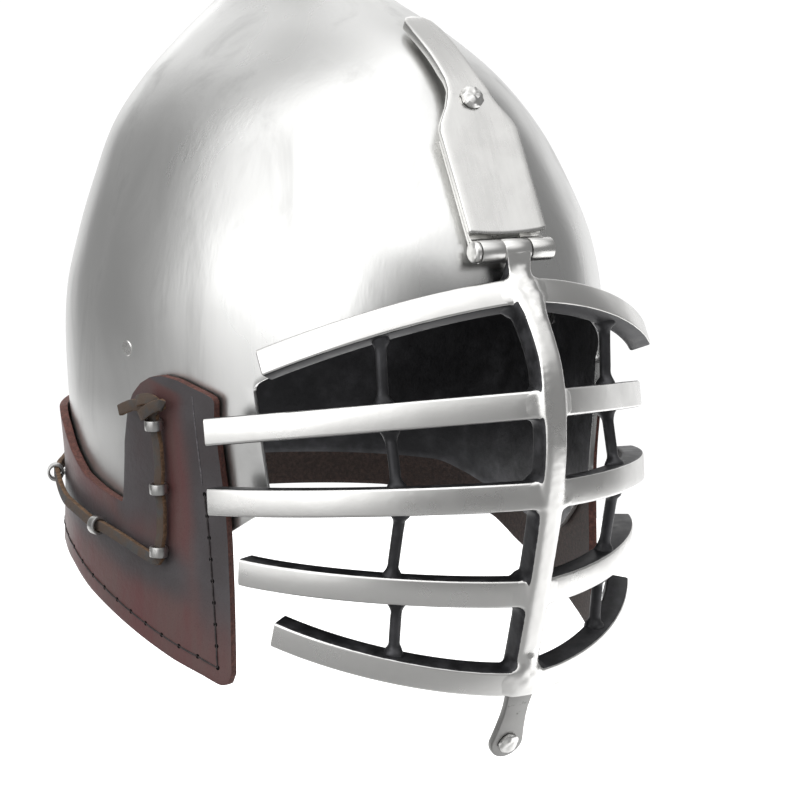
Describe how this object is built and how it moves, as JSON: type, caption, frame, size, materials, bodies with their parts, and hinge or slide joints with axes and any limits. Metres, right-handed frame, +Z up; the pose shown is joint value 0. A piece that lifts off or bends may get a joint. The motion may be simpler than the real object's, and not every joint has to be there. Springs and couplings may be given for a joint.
{
  "type": "bascinet helmet with barred visor",
  "caption": "Pointed steel helmet with a visor of welded bars hinged at the brow, a turning clip over its leaf, and a leather collar laced on through staples.",
  "frame": {"origin": "the seat inside the crown where the top of a head comes to rest, 77.5 mm under the helmet's point", "axes": "+Z up, -Y the way the face looks, +X the wearer's left"},
  "size_m": [0.2326, 0.2997, 0.3412],
  "materials": {
    "brushed_steel": "satin brushed steel with soft vertical polishing bands",
    "bright_steel": "ground bright on the front faces, blackened on the sides and back",
    "dark_steel": "dark forge scale",
    "oxblood_leather": "waxed oxblood leather with dark stained borders",
    "lace_leather": "matt brown-grey thong"
  },
  "bodies": {
    "helmet": {"skull": "brushed_steel", "skull_rivet_left": "brushed_steel", "skull_rivet_right": "brushed_steel", "clip_rivet": "bright_steel", "clip_spacer": "dark_steel", "hinge_leaf": "brushed_steel", "hinge_pin": "bright_steel", "leather_collar": "oxblood_leather", "lace": "lace_leather", "lace_knot_left": "lace_leather", "lace_knot_right": "lace_leather", "staple_1_left": "brushed_steel", "staple_2_left": "brushed_steel", "staple_3_left": "brushed_steel", "staple_4_left": "brushed_steel", "staple_5_left": "brushed_steel", "staple_6_left": "brushed_steel", "staple_7_left": "brushed_steel", "staple_1_right": "brushed_steel", "staple_2_right": "brushed_steel", "staple_3_right": "brushed_steel", "staple_4_right": "brushed_steel", "staple_5_right": "brushed_steel", "staple_6_right": "brushed_steel", "staple_7_right": "brushed_steel"},
    "visor": {"visor": "bright_steel", "tab_stud": "bright_steel"},
    "clip": {"clip": "bright_steel"}
  },
  "joints": [
    {"name": "visor_hinge", "type": "hinge", "parent": "helmet", "child": "visor", "pos_m": [0, -0.1284, -0.0585], "axis": [-1, 0, 0], "range_deg": [0, 110]},
    {"name": "clip_swivel", "type": "hinge", "parent": "helmet", "child": "clip", "pos_m": [0, -0.0971, -0.00039], "axis": [0, -0.8746, 0.4848], "range_deg": [-90, 90]}
  ]
}
